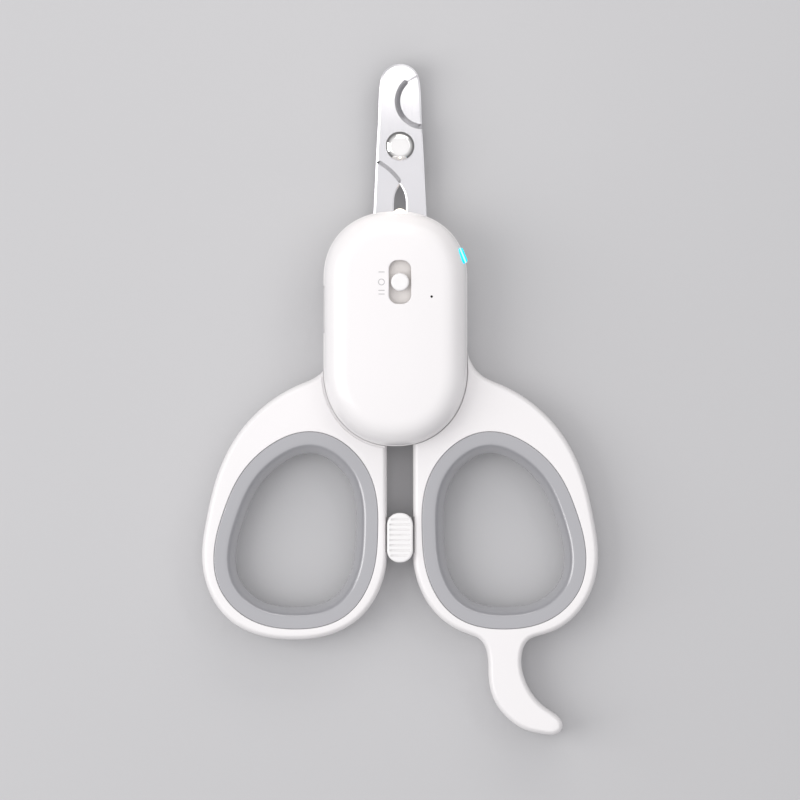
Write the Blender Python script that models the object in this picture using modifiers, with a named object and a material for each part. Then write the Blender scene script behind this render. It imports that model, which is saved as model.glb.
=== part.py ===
"""Pet nail clipper with scissor handles, lit blades and a switch housing.

The clipper lies flat on its back: +X is right, +Y points to the blade tips, +Z is the front face.
The origin is the middle of the rest plane. All sizes are in millimetres; MM turns them to metres.
"""
from math import cos, pi, radians, sin

import bmesh
import bpy
import numpy as np
from mathutils import Matrix

MM = 0.001

# Fits
GAP = 0.3                     # between faces that touch on the real object
SLIM = 0.15                   # running and seating clearance
STEP = 3.0                    # spacing of the points on smooth outlines

# Heights
HANDLE_TOP = 9.0
HANDLE_ROUND = 2.0            # edge rounding of the handles
WEB = (2.0, 7.0)              # core of a handle inside its grip ring
ARM_TOP = 6.0                 # the arms where they pass under the housing
REAR_BLADE = (2.9, 4.4)
FRONT_BLADE = (4.5, 6.0)
BASE = (6.3, 9.5)
BASE_FLOOR = 7.5
COVER = (9.8, 17.5)
COVER_WALL = 1.3
COVER_ROUND = 5.0

# Handles: outline of the right one, mirrored for the left one
ARM_INNER = 0.6               # half the slit between the two arms
LOOP_INNER = 2.6              # half the gap between the two loops
S_BEND = [(ARM_INNER, 9.0), (1.6, 4.5), (LOOP_INNER, 0.0)]
LOOP_HEEL = [(LOOP_INNER, -31.3), (3.4, -36.1), (5.8, -41.1), (9.6, -44.9), (13.4, -46.8)]
LOOP_FOOT = [(21.2, -48.0)]
LOOP_SIDE = [(28.9, -46.9), (34.1, -44.1), (38.2, -38.3), (39.6, -31.6), (38.8, -24.4),
             (36.3, -14.5), (32.1, -6.5), (26.3, -0.6), (19.9, 3.1), (16.4, 4.8), (14.4, 7.1)]
ARM_OUTER = [(13.2, 11.0), (12.3, 18.0), (10.2, 26.0), (7.6, 31.8), (4.2, 34.6), (1.3, 32.6),
             (ARM_INNER, 29.0)]
TAIL = [(16.2, -48.2), (17.45, -51.0), (17.7, -55.4), (18.8, -60.1), (21.4, -63.6), (25.2, -66.1),
        (29.6, -67.1), (32.4, -65.5), (31.1, -63.0), (27.8, -60.8), (25.1, -56.5), (24.3, -51.7),
        (25.6, -48.2)]
HOLE = [(17.6, -10.8), (10.5, -15.9), (8.8, -26.4), (9.8, -34.1), (13.5, -39.7), (21.0, -41.5),
        (28.6, -39.7), (32.1, -35.7), (32.7, -30.1), (31.1, -23.8), (28.3, -17.6), (23.7, -12.9)]
GRIP_WIDTH = 4.4              # of the soft ring, seen from the front
GRIP_LIP = 1.6                # its thickness inside the finger hole
GRIP_ROUND = 1.4

# Blades: outline of the front one, mirrored for the rear one
BLADE_TOP = 67.1
BLADE_SIDE = [(6.9, 21.0), (5.9, 30.0), (5.22, 38.3), (4.63, 50.7), (4.3, 57.0), (4.0, 63.1),
              (3.42, 65.2), (1.8, 66.7), (0.0, BLADE_TOP)]
BLADE_FAR_SIDE = [(-1.8, 66.7), (-3.42, 65.2), (-4.0, 63.1), (-4.3, 57.0), (-4.63, 50.7),
                  (-4.75, 47.4)]
BLADE_SHOULDER = [(-4.75, 47.4), (-2.3, 45.7), (-0.14, 43.2), (0.9, 41.3), (1.2, 37.5), (1.2, 17.5)]
BLADE_SCREWS = [(3.9, 19.0), (3.4, 29.5)]
PIVOT = (0.0, 50.7)
PIVOT_RADIUS = 1.5
FRONT_NOTCH = (4.65, 59.7, 4.6, 5.7)      # centre, radius at the back face and at the front face
REAR_NOTCH = (-4.0, 59.6, 2.9, 2.3)
BLADE_BED = (-1.0, 7.2, 14.6, 40.0)       # low x, high x, low y, high y of the seat in an arm
FRONT_HEAD = (0.8, 2.0)
REAR_HEAD = (0.3, 1.2)

# Housing: a capsule of two superelliptic ends
MID_X = -0.92
HALF_WIDTH = 14.36
TOP_END = (24.0, 13.6, 2.2)   # centre y, height, power
LOW_END = (5.86, 15.2, 2.1)
RIM_STEP = 0.35               # the base stands out this much round the cover
BASE_WALL = 1.5
BOSSES = [(8.8, 2.4), (9.0, 16.5), (-10.4, 2.4), (-8.9, 28.6)]
BOSS_RADIUS = 1.7
BOSS_FOOT = 2.5               # radius of the wide foot on the tray's floor
BOSS_TOP = 16.35
BOSS_FOOT_TOP = 8.6
BASE_HEAD = (6.6, 7.7)
SCREW_RADIUS = 1.0
SCREW_TIP = 14.0
SCREW_HOLE = 1.25
HEAD_RADIUS = 1.75
HEAD_HOLE = 2.1

# Electrics
BATTERY = (-7.5, 5.9, -4.8, 12.2, 7.8, 11.2)
BOARD = (11.5, 12.3)
BOARD_OUTLINE = [(-6.9, -4.0), (6.7, -4.0), (6.7, 18.6), (9.8, 18.6), (9.8, 28.4), (7.5, 30.4),
                 (7.5, 32.0), (-6.9, 32.0), (-6.9, 23.2), (-12.6, 23.2), (-12.6, 12.8), (-6.9, 12.8)]
PORT = (18.0, 9.7)            # centre y and z of the charge socket
PORT_SIZE = (8.94, 3.2)
PORT_DEPTH = (-14.9, -7.7)
CHIP = (-4.4, 7.0)
PINHOLE = (6.3, 20.5)
PINHOLE_RADIUS = 0.25
LAMP_AXIS = 11.9
LAMP_RADIUS = 1.5
LENS = (12.55, 28.75, 13.1)   # middle of the side lens on the wall
LENS_TURN = radians(25.0)
LENS_SIZE = (2.0, 3.2)        # height, length

# Light switch
SWITCH_Y = 23.4
SLOT = (4.4, 8.7, 1.8)        # width, length, corner radius
CARRIER = (6.6, 13.0, 15.2, 16.0)
KNOB_RADIUS = 1.8
KNOB_TOP = 18.0
LEVER = (0.45, 0.8, 13.5, 15.0)

# Lock
LOCK_Y = -27.6
LOCK_BUTTON = (5.2, 9.9, 8.0, 10.0)       # width, length, low z, high z
LOCK_POCKET = (2.9, -30.5, -23.4)         # half width, low y, high y
LOCK_PLATE = (2.3, -30.2, -23.5, 2.6, 6.0)
LATCH_Y = (-28.2, -26.2)
LATCH_TRAVEL = 2.2
LATCH_MID = 4.5               # height of the latch's middle
LATCH_HALF = 0.6              # half the thickness of its neck and of the tongue
PIN = (5.0, 0.5 * (LATCH_Y[0] + LATCH_Y[1] + LATCH_TRAVEL))
LOCK_BOLT = (0.65, 1.45, 2.9, 3.8, 8.7)   # shank and head radius, low and high z of the head, tip


def smooth(points, closed=False, start=None, end=None, step=STEP):
    """Points about a step apart on the cubic spline through the given ones."""
    fixed = np.array(points + points[:1] if closed else points, float)
    chord = np.diff(fixed, axis=0)
    gap = np.linalg.norm(chord, axis=1)
    slope = chord / gap[:, None]
    last = len(fixed) - 1
    system = np.eye(last + 1)
    target = np.zeros((last + 1, 2))
    for i in range(0 if closed else 1, last):
        before = (i - 1) % last
        system[i] = 0.0
        system[i, before] += gap[i]
        system[i, i] += 2.0 * (gap[before] + gap[i])
        system[i, i + 1] += gap[before]
        target[i] = 3.0 * (gap[i] * slope[before] + gap[before] * slope[i])
    if closed:
        system[last, 0] = -1.0
    else:
        for row, near, inner, given in ((0, 0, 1, start), (last, last - 1, last - 1, end)):
            if given:
                target[row] = given
            else:
                system[row, row], system[row, inner] = 2.0, 1.0
                target[row] = 3.0 * slope[near]
    tangent = np.linalg.solve(system, target)
    path = []
    for i in range(last):
        count = max(1, round(gap[i] / step))
        for t in np.arange(count) / count:
            path.append(fixed[i] * (1 + 2 * t) * (1 - t) ** 2 + fixed[i + 1] * t * t * (3 - 2 * t)
                        + tangent[i] * gap[i] * t * (1 - t) ** 2
                        + tangent[i + 1] * gap[i] * t * t * (t - 1))
    if not closed:
        path.append(fixed[-1])
    return [tuple(p) for p in path]


def grown(loop, distance):
    """The loop moved outwards; it runs counterclockwise."""
    points = np.array(loop)
    along = np.roll(points, -1, axis=0) - np.roll(points, 1, axis=0)
    along /= np.linalg.norm(along, axis=1)[:, None]
    outward = np.column_stack((along[:, 1], -along[:, 0]))
    return [tuple(p) for p in points + distance * outward]


def mirrored(loop):
    return [(-x, y) for x, y in reversed(loop)]


def arc(centre, radius, first, last, count):
    """Points of a round arc between two angles in degrees."""
    angles = np.radians(np.linspace(first, last, count))
    return [(centre[0] + radius * cos(a), centre[1] + radius * sin(a)) for a in angles]


def circle(centre, radius, count=16):
    return arc(centre, radius, 0, 360, count + 1)[:-1]


def rectangle(low_x, high_x, low_y, high_y):
    return [(low_x, low_y), (high_x, low_y), (high_x, high_y), (low_x, high_y)]


def rounded(centre, width, length, radius, count=4):
    """A rectangle with round corners."""
    loop = []
    for quarter in range(4):
        side_x = 1 if quarter in (0, 3) else -1
        side_y = 1 if quarter < 2 else -1
        corner = (centre[0] + side_x * (width / 2 - radius), centre[1] + side_y * (length / 2 - radius))
        loop += arc(corner, radius, 90 * quarter, 90 * quarter + 90, count + 1)
    return loop


def capsule(distance=0.0, count=14):
    """The housing's outline, moved outwards by a distance."""
    loop = []
    for first, (middle, height, power) in ((0.0, TOP_END), (pi, LOW_END)):
        for i in range(count + 1):
            a = first + pi * i / count
            x = abs(cos(a)) ** (2 / power) * (1 if cos(a) > 0 else -1)
            y = abs(sin(a)) ** (2 / power) * (1 if first == 0.0 else -1)
            loop.append((MID_X + HALF_WIDTH * x, middle + height * y))
    return grown(loop, distance)


def collection(name):
    group = bpy.data.collections.new(name)
    bpy.context.scene.collection.children.link(group)
    return group


def material(name, colour, roughness, metallic=0.0, glow=None):
    made = bpy.data.materials.new(name)
    made.use_nodes = True
    shader = made.node_tree.nodes["Principled BSDF"]
    shader.inputs["Base Color"].default_value = (*colour, 1.0)
    shader.inputs["Roughness"].default_value = roughness
    shader.inputs["Metallic"].default_value = metallic
    if glow:
        shader.inputs["Emission Color"].default_value = (*glow, 1.0)
        shader.inputs["Emission Strength"].default_value = 2.0
    made.diffuse_color = (*colour, 1.0)
    return made


def placed(name, mesh, finish):
    piece = bpy.data.objects.new(name, mesh)
    if finish:
        mesh.materials.append(finish)
    PARTS.objects.link(piece)
    return piece


def plate(name, loops, low, high, finish=None, edge=0.0, segments=2, turn=None):
    """A flat outline, with holes as further loops, from one height to another."""
    curve = bpy.data.curves.new(name, "CURVE")
    curve.dimensions = "2D"
    curve.fill_mode = "BOTH"
    curve.extrude = (0.5 * (high - low) - edge) * MM
    curve.bevel_depth = edge * MM
    curve.bevel_resolution = segments - 1
    curve.offset = -edge * MM
    curve.render_resolution_u = 0
    for loop in loops:
        run = curve.splines.new("POLY")
        run.points.add(len(loop) - 1)
        for point, (x, y) in zip(run.points, loop):
            point.co = (x * MM, y * MM, 0.0, 1.0)
        run.use_cyclic_u = True
    drawn = bpy.data.objects.new(name + "_outline", curve)
    bpy.context.scene.collection.objects.link(drawn)
    shape = drawn.evaluated_get(bpy.context.evaluated_depsgraph_get())
    mesh = bpy.data.meshes.new_from_object(shape)
    bpy.data.objects.remove(drawn)
    mesh.name = name
    welded = bmesh.new()
    welded.from_mesh(mesh)
    bmesh.ops.remove_doubles(welded, verts=welded.verts, dist=0.002 * MM)
    bmesh.ops.recalc_face_normals(welded, faces=welded.faces)
    welded.to_mesh(mesh)
    welded.free()
    mesh.transform(Matrix.Translation((0, 0, 0.5 * (low + high) * MM)))
    if turn:
        mesh.transform(turn)
    return placed(name, mesh, finish)


def turned(name, profile, finish=None, steps=16, turn=None):
    """A shape turned round Z from (radius, height) points, from its top to its foot."""
    mesh = bpy.data.meshes.new(name)
    mesh.from_pydata([(r * MM, 0.0, z * MM) for r, z in profile],
                     [(i, i + 1) for i in range(len(profile) - 1)], [])
    piece = placed(name, mesh, finish)
    spin = piece.modifiers.new("spin", "SCREW")
    spin.steps = spin.render_steps = steps
    spin.use_merge_vertices = True
    spin.merge_threshold = 0.00001
    if turn:
        piece.matrix_world = turn
    return piece


def block(name, low, high, finish=None, edge=0.0, segments=2):
    """A box between two corners, with rounded edges."""
    mesh = bpy.data.meshes.new(name)
    cube = bmesh.new()
    bmesh.ops.create_cube(cube, size=1.0)
    size = [(b - a) * MM for a, b in zip(low, high)]
    middle = [(a + b) / 2 * MM for a, b in zip(low, high)]
    bmesh.ops.scale(cube, vec=size, verts=cube.verts)
    bmesh.ops.translate(cube, vec=middle, verts=cube.verts)
    cube.to_mesh(mesh)
    cube.free()
    piece = placed(name, mesh, finish)
    if edge:
        bevel = piece.modifiers.new("edges", "BEVEL")
        bevel.width = edge * MM
        bevel.segments = segments
    return piece


def tube(name, points, radius, finish):
    """A round wire along a smooth path."""
    curve = bpy.data.curves.new(name, "CURVE")
    curve.dimensions = "3D"
    curve.bevel_depth = radius * MM
    curve.bevel_resolution = 2
    curve.use_fill_caps = True
    curve.render_resolution_u = 0
    run = curve.splines.new("POLY")
    run.points.add(len(points) - 1)
    for point, place in zip(run.points, points):
        point.co = (*[v * MM for v in place], 1.0)
    piece = bpy.data.objects.new(name, curve)
    curve.materials.append(finish)
    PARTS.objects.link(piece)
    return piece


def combine(piece, tool, operation):
    tool.hide_render = True
    tool.display_type = "WIRE"
    for group in list(tool.users_collection):
        group.objects.unlink(tool)
    CUTTERS.objects.link(tool)
    step = piece.modifiers.new(tool.name, "BOOLEAN")
    step.operation = operation
    step.object = tool
    step.solver = "EXACT"
    seam = piece.modifiers.new("weld", "WELD")
    seam.merge_threshold = 0.000002


def cut(piece, *tools):
    for tool in tools:
        combine(piece, tool, "DIFFERENCE")


def join(piece, *tools):
    for tool in tools:
        combine(piece, tool, "UNION")


def at(x, y, z=0.0):
    return Matrix.Translation((x * MM, y * MM, z * MM))


def screw(name, place, head_low, head_high, tip):
    """A flat-headed screw driven up from the back, with a round socket in its head."""
    middle = 0.5 * (head_low + head_high)
    profile = [(0.0, tip), (0.7 * SCREW_RADIUS, tip), (SCREW_RADIUS, tip - 0.4),
               (SCREW_RADIUS, head_high), (HEAD_RADIUS, head_high), (HEAD_RADIUS, head_low + 0.2),
               (HEAD_RADIUS - 0.2, head_low), (0.75, head_low), (0.6, middle), (0.0, middle)]
    return turned(name, profile, STEEL, 12, at(*place))


def sunk_hole(name, place, head_top, top, foot=-1.0):
    """Cutter for a screw's shank and, below it, for its head."""
    return turned(name, [(0, top), (SCREW_HOLE, top), (SCREW_HOLE, head_top), (HEAD_HOLE, head_top),
                         (HEAD_HOLE, foot), (0, foot)], steps=12, turn=at(*place))


def round_hole(name, place, radius, low, high, steps=12):
    """Cutter for a straight hole along Z."""
    return turned(name, [(0, high), (radius, high), (radius, low), (0, low)], steps=steps,
                  turn=at(*place))


def handle_outline(tail):
    """The right handle's outline, counterclockwise from the top of its inner edge."""
    down = (0.0, -1.0)
    foot = TAIL if tail else LOOP_FOOT
    outer = smooth(LOOP_HEEL + foot + LOOP_SIDE + ARM_OUTER, start=down, end=down)
    bend = smooth(S_BEND, start=down, end=down)
    straight = [(ARM_INNER, 22.0), (ARM_INNER, 15.0)]
    wall = [(LOOP_INNER, y) for y in (-8.0, -16.0, -24.0)]
    return outer + straight + bend + wall


def handle(name, side):
    """A handle arm with its finger loop; side is 1 for the right one and -1 for the left one."""
    flip = (lambda loop: loop) if side > 0 else mirrored
    hole = smooth(HOLE, closed=True)
    seat = flip(grown(hole, GRIP_WIDTH))
    core = flip(grown(hole, GRIP_LIP))
    body = plate(name, [flip(handle_outline(side > 0))], 0.0, HANDLE_TOP, WHITE, HANDLE_ROUND)
    cut(body,
        plate(name + "_seat_front", [seat], WEB[1], HANDLE_TOP + 1),
        plate(name + "_seat_back", [seat], -1.0, WEB[0]),
        plate(name + "_bore", [core], -1.5, HANDLE_TOP + 1.5),
        plate(name + "_step", [capsule(GAP)], ARM_TOP, HANDLE_TOP + 1))
    low_x, high_x, low_y, high_y = BLADE_BED
    bed_floor = (FRONT_BLADE if side > 0 else REAR_BLADE)[0] - 0.1
    cut(body, plate(name + "_bed", [flip(rectangle(low_x, high_x, low_y, high_y))], bed_floor,
                    ARM_TOP + 2))
    for number, (x, y) in enumerate(BLADE_SCREWS):
        depth = (FRONT_HEAD if side > 0 else REAR_HEAD)[1] + 0.2
        cut(body, sunk_hole(f"{name}_hole_{number}", (side * x, y), depth, 7.0))
    return body


def grip(name, side):
    """The soft ring, which wraps round the handle's core."""
    flip = (lambda loop: loop) if side > 0 else mirrored
    hole = smooth(HOLE, closed=True)
    outer = flip(grown(hole, GRIP_WIDTH - GAP))
    core = flip(grown(hole, GRIP_LIP - GAP))
    ring = plate(name, [outer, flip(hole)], 0.0, HANDLE_TOP, GREY, GRIP_ROUND)
    far = flip(grown(hole, GRIP_WIDTH + 2))
    cut(ring, plate(name + "_groove", [far, core], WEB[0] - GAP, WEB[1] + GAP))
    return ring


def blade_outline():
    side = smooth(BLADE_SIDE + BLADE_FAR_SIDE, start=(0.0, 1.0))
    shoulder = smooth(BLADE_SHOULDER, end=(0.0, -1.0))
    return side + shoulder[1:] + [(1.8, 15.0), (5.9, 15.0), (6.9, 16.5)]


def blade(name, side, heights, notch):
    """A blade with its shank, notch, pivot hole and two screw holes."""
    outline = blade_outline() if side > 0 else mirrored(blade_outline())
    made = plate(name, [outline], *heights, BLADE)
    x, y, radius_low, radius_high = notch
    low, high = heights
    over = 0.5
    extra = over * (radius_high - radius_low) / (high - low)
    cut(made,
        turned(name + "_notch", [(0, high + over), (radius_high + extra, high + over),
                                 (radius_low - extra, low - over), (0, low - over)],
               steps=32, turn=at(x, y)),
        round_hole(name + "_eye", PIVOT, PIVOT_RADIUS + SLIM, low - 1, high + 1, 16))
    for number, (sx, sy) in enumerate(BLADE_SCREWS):
        cut(made, round_hole(f"{name}_hole_{number}", (side * sx, sy), SCREW_HOLE, low - 1, high + 1))
    return made


def pivot():
    """Domed bolt in front, washer and nut behind the blades."""
    r = PIVOT_RADIUS
    top = FRONT_BLADE[1] + 0.1
    foot = REAR_BLADE[0]
    turned("pivot_bolt", [(0, top + 1.5), (2.0, top + 1.45), (2.45, top + 1.1), (2.9, top + 0.35),
                          (2.9, top), (r, top), (r, 0.7), (r - 0.3, 0.4), (0, 0.4)], CHROME, 24,
           at(*PIVOT))
    ring = circle(PIVOT, r + SLIM, 16)
    plate("pivot_washer", [circle(PIVOT, 2.9, 24), ring], foot - 0.45, foot - 0.1, STEEL)
    plate("pivot_nut", [circle(PIVOT, 2.7, 6), ring], foot - 2.1, foot - 0.55, STEEL)


def housing_base():
    """Tray that is screwed to the right arm."""
    base = plate("housing_base", [capsule()], *BASE, WHITE, 0.3, 1)
    cut(base, plate("base_hollow", [capsule(-BASE_WALL)], BASE_FLOOR, BASE[1] + 1))
    for number, (x, y) in enumerate(BOSSES):
        join(base, turned(f"base_boss_{number}", [(0, BASE[1]), (BOSS_RADIUS, BASE[1]),
                                                  (BOSS_FOOT, BOSS_FOOT_TOP),
                                                  (BOSS_FOOT, 7.0), (0, 7.0)],
                          steps=12, turn=at(x, y)))
    for number, (x, y) in enumerate(BOSSES):
        if x > 0:
            cut(base, round_hole(f"base_hole_{number}", (x, y), SCREW_HOLE, 5.0, 12.0))
        else:
            cut(base, sunk_hole(f"base_hole_{number}", (x, y), BASE_HEAD[1] + 0.2, 12.0, 5.0))
    cut(base, port_cutter("base_port"))
    return base


def housing_cover():
    """Upper shell: an open pillow shape made thick, with bosses and openings."""
    depth = COVER[1] - COVER[0]
    pillow = plate("housing_cover", [capsule(-RIM_STEP)], COVER[0] - depth, COVER[1], WHITE,
                   COVER_ROUND, 3)
    half = bmesh.new()
    half.from_mesh(pillow.data)
    bmesh.ops.bisect_plane(half, geom=half.verts[:] + half.edges[:] + half.faces[:], dist=1e-7,
                           plane_co=(0, 0, COVER[0] * MM), plane_no=(0, 0, -1), clear_outer=True)
    half.to_mesh(pillow.data)
    half.free()
    shell = pillow.modifiers.new("wall", "SOLIDIFY")
    shell.thickness = COVER_WALL * MM
    shell.offset = -1.0
    shell.use_even_offset = True
    for number, (x, y) in enumerate(BOSSES):
        foot = COVER[0] + 0.1
        join(pillow, turned(f"cover_boss_{number}", [(0, BOSS_TOP), (BOSS_RADIUS, BOSS_TOP),
                                                     (BOSS_RADIUS, foot), (0, foot)],
                            steps=12, turn=at(x, y)))
        cut(pillow, round_hole(f"cover_hole_{number}", (x, y), SCREW_HOLE, 8.0, 15.0))
    cut(pillow,
        plate("cover_slot", [rounded((0, SWITCH_Y), *SLOT)], 14.0, COVER[1] + 1),
        plate("cover_pinhole", [circle(PINHOLE, PINHOLE_RADIUS, 8)], 14.0, COVER[1] + 1),
        turned("cover_lamp_hole", [(0, 42), (LAMP_RADIUS + 0.2, 42), (LAMP_RADIUS + 0.2, 33), (0, 33)],
               turn=at(0, 0, LAMP_AXIS) @ Matrix.Rotation(-pi / 2, 4, "X")),
        plate("cover_lens_hole", [lens_outline(0.2)], -3.0, 3.0, turn=outward(*LENS)),
        port_cutter("cover_port"))
    return pillow


def port_cutter(name):
    width, height = PORT_SIZE
    loop = rounded((0, 0), width + 0.6, height + 0.6, 0.5 * height + 0.25)
    return plate(name, [loop], 12.2, 18.0, turn=sideways(*PORT))


def sideways(y, z):
    """Turns a flat piece so that its height runs out of the left wall."""
    return Matrix(((0, 0, -1, 0), (1, 0, 0, y * MM), (0, -1, 0, z * MM), (0, 0, 0, 1)))


def outward(x, y, z):
    """Turns a flat piece so that its height runs out of the right wall at the lens."""
    return at(x, y, z) @ Matrix.Rotation(LENS_TURN, 4, "Z") @ Matrix.Rotation(pi / 2, 4, "Y")


def lens_outline(distance=0.0):
    height, length = LENS_SIZE
    return grown(rounded((0, 0), height, length, 0.5 * height - 0.01), distance)


def charge_socket():
    width, height = PORT_SIZE
    shell = rounded((0, 0), width, height, 0.5 * height - 0.05)
    inner = rounded((0, 0), width - 0.7, height - 0.7, 0.5 * height - 0.4)
    front, back = PORT_DEPTH
    socket = plate("charge_socket", [shell], -back, -front, STEEL, turn=sideways(*PORT))
    cut(socket, plate("socket_mouth", [inner], 0.8 - back, 1.0 - front, turn=sideways(*PORT)))
    y, z = PORT
    join(socket, block("socket_tongue", (front + 1.2, y - 3.3, z - 0.35), (back - 0.3, y + 3.3, z + 0.35)))
    return socket


def electrics():
    x0, x1, y0, y1, z0, z1 = BATTERY
    block("battery", (x0, y0, z0), (x1, y1, z1), FOIL, 1.0)
    board_low, board_high = BOARD
    plate("circuit_board", [BOARD_OUTLINE], board_low, board_high, BOARD_GREEN)
    charge_socket()
    x, y = CHIP
    top = board_high + SLIM
    block("charge_chip", (x - 2.0, y - 2.0, top), (x + 2.0, y + 2.0, top + 1.0), BLACK, 0.15, 1)
    x, y = PINHOLE
    block("indicator_led", (x - 0.8, y - 0.6, top), (x + 0.8, y + 0.6, top + 0.8), LAMP, 0.1, 1)
    end = y1 + GAP
    for name, x, finish in (("battery_lead_red", -1.5, RED), ("battery_lead_black", 1.5, BLACK)):
        path = [(x, end, 9.4), (x, end + 0.9, 9.45), (x, end + 1.6, 9.8), (x, end + 2.0, 10.4),
                (x, end + 2.1, board_low - GAP)]
        tube(name, path, 0.45, finish)


def lamps():
    """Front lamp through the top end, side lamp behind its oblong lens."""
    flat = at(0, 0, LAMP_AXIS) @ Matrix.Rotation(-pi / 2, 4, "X")
    r = LAMP_RADIUS
    led = turned("front_led", [(0, 38.1), (0.6 * r, 37.85), (0.9 * r, 37.3), (r, 36.6), (r, 33.6),
                               (r + 0.4, 33.6), (r + 0.4, 32.6), (0, 32.6)], LAMP, 16, flat)
    for number, z in enumerate((BOARD[1] + SLIM, BOARD[0] - SLIM - 0.4)):
        join(led, block(f"led_leg_{number}", (-0.25, 30.6, z), (0.25, 32.9, z + 0.4)))
    plate("side_lens", [lens_outline()], -1.35, 0.6, CYAN, 0.3, turn=outward(*LENS))
    x, y, _ = LENS
    dx, dy = 2.9 * cos(LENS_TURN), 2.9 * sin(LENS_TURN)
    top = BOARD[1] + SLIM
    block("side_led", (x - dx - 1.0, y - dy - 1.2, top), (x - dx + 1.0, y - dy + 1.2, top + 1.7), LAMP,
          0.15, 1)


def housing_screws():
    """Two long ones through the right arm, two short ones under the left half."""
    for number, (x, y) in enumerate(BOSSES):
        if x > 0:
            screw(f"housing_screw_{number + 1}", (x, y), *FRONT_HEAD, SCREW_TIP)
        else:
            screw(f"housing_screw_{number + 1}", (x, y), *BASE_HEAD, SCREW_TIP)


def switch():
    """Slide switch on the board with its lever, and the knob's carrier above it."""
    y = SWITCH_Y
    half_x, half_y, lever_low, lever_high = LEVER
    top = BOARD[1] + SLIM
    case = block("switch_case", (-1.9, y - 4.6, top), (1.9, y + 4.6, 14.3), STEEL, 0.15, 1)
    cut(case, block("switch_channel", (-half_x - SLIM, y - 3.3, lever_low - SLIM),
                    (half_x + SLIM, y + 3.3, 15.0)))
    block("switch_lever", (-half_x, y - half_y, lever_low), (half_x, y + half_y, lever_high), BLACK)
    width, length, low, high = CARRIER
    carrier = plate("switch_carrier", [rounded((0, y), width, length, 0.8)], low, high, BEIGE)
    for number, near in enumerate((half_y + SLIM, -half_y - SLIM - 0.7)):
        join(carrier, block(f"carrier_fork_{number}", (-0.9, y + near, 14.5),
                            (0.9, y + near + 0.7, low + 0.3)))
    cut(carrier, turned("carrier_eye", [(0, 17), (0.75, 17), (0.75, 14.9), (0, 14.9)], steps=12,
                        turn=at(0, y)))
    r = KNOB_RADIUS
    foot = high + 0.1
    turned("switch_knob", [(0, KNOB_TOP), (r - 0.4, KNOB_TOP), (r, KNOB_TOP - 0.4), (r, foot),
                           (0.6, foot), (0.6, low + 0.2), (0, low + 0.2)], WHITE, 24, at(0, y))


def lock_cutters(body, side):
    """Shallow pocket for the lock, and the slot for its latch or its tongue."""
    half, low_y, high_y = LOCK_POCKET
    mid = LATCH_MID
    first, last = LATCH_Y
    name = body.name
    pocket = sorted((side * 1.0, side * half))
    cut(body, block(name + "_pocket", (pocket[0], low_y, WEB[0] + 0.4), (pocket[1], high_y, 10.5)))
    if side < 0:
        cut(body,
            block("latch_entry", (-4.2, first - GAP, mid - 1.6), (-2.4, last + GAP, mid + 1.6)),
            block("latch_channel", (-4.2, first - GAP, mid - LATCH_HALF - GAP),
                  (-2.4, last + LATCH_TRAVEL + GAP, mid + LATCH_HALF + GAP)),
            block("latch_cavity", (-5.6, first - GAP, mid - 1.6),
                  (-3.9, last + LATCH_TRAVEL + GAP, mid + 1.6)))
    else:
        cut(body,
            block("tongue_slot", (2.4, first - 1.3, mid - LATCH_HALF - GAP),
                  (6.4, last + 1.3 + LATCH_TRAVEL, mid + LATCH_HALF + GAP)),
            turned("pin_hole", [(0, 6.6), (0.75, 6.6), (0.75, 1.5), (0, 1.5)], steps=10,
                   turn=at(*PIN)))


def lock():
    """Ribbed button, plate with a latch head on the left and a tongue on the right."""
    width, length, low, high = LOCK_BUTTON
    button = plate("lock_button", [rounded((0, LOCK_Y), width, length, 0.5 * width - 0.01)], low, high,
                   WHITE, 0.35, 1)
    half, low_y, high_y, plate_low, plate_high = LOCK_PLATE
    stem = block("button_stem", (-1.7, LOCK_Y - 3.0, plate_high + 0.1), (1.7, LOCK_Y + 3.0, low + 0.6))
    join(button, stem)
    cut(button, turned("button_thread", [(0, 9.0), (0.85, 9.0), (0.85, 5.5), (0, 5.5)], steps=10,
                       turn=at(0, LOCK_Y)))
    first, last = LATCH_Y
    mid = LATCH_MID
    body = block("lock_plate", (-half, low_y, plate_low), (half, high_y, plate_high), WHITE, 0.2, 1)
    join(body,
         block("latch_neck", (-4.4, first, mid - LATCH_HALF), (-half + 0.5, last, mid + LATCH_HALF)),
         block("latch_head", (-5.3, first, mid - 1.3), (-4.2, last, mid + 1.3)),
         block("tongue", (half - 0.5, first - 1.0, mid - LATCH_HALF),
               (6.1, last + 1.0, mid + LATCH_HALF)))
    cut(body,
        plate("tongue_window",
              [rounded((PIN[0], PIN[1] - 0.5 * LATCH_TRAVEL), 1.5, LATCH_TRAVEL + 1.5, 0.74)],
              mid - 1.5, mid + 1.5),
        turned("plate_hole", [(0, 7), (0.85, 7), (0.85, 2), (0, 2)], steps=10, turn=at(0, LOCK_Y)),
        turned("plate_head", [(0, 4.0), (1.75, 4.0), (1.75, 2), (0, 2)], steps=12, turn=at(0, LOCK_Y)))
    shank, rim, head_low, head_high, tip = LOCK_BOLT
    turned("lock_screw", [(0, tip), (shank, tip), (shank, head_high), (rim, head_high),
                          (rim, head_low), (0.5, head_low), (0.4, head_low + 0.4), (0, head_low + 0.4)],
           STEEL, 12, at(0, LOCK_Y))
    turned("lock_pin", [(0, 6.4), (0.6, 6.4), (0.6, WEB[0] + 0.2), (0, WEB[0] + 0.2)], STEEL, 10,
           at(*PIN))


def carried(empty_name, place, names):
    """Hangs moving pieces on an empty that stands on their joint's axis."""
    empty = bpy.data.objects.new(empty_name, None)
    PARTS.objects.link(empty)
    empty.location = [v * MM for v in place]
    undo = Matrix.Translation(empty.location).inverted()
    for name in names:
        piece = bpy.data.objects[name]
        piece.parent = empty
        piece.matrix_parent_inverse = undo


for old in list(bpy.data.objects):
    bpy.data.objects.remove(old)

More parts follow.
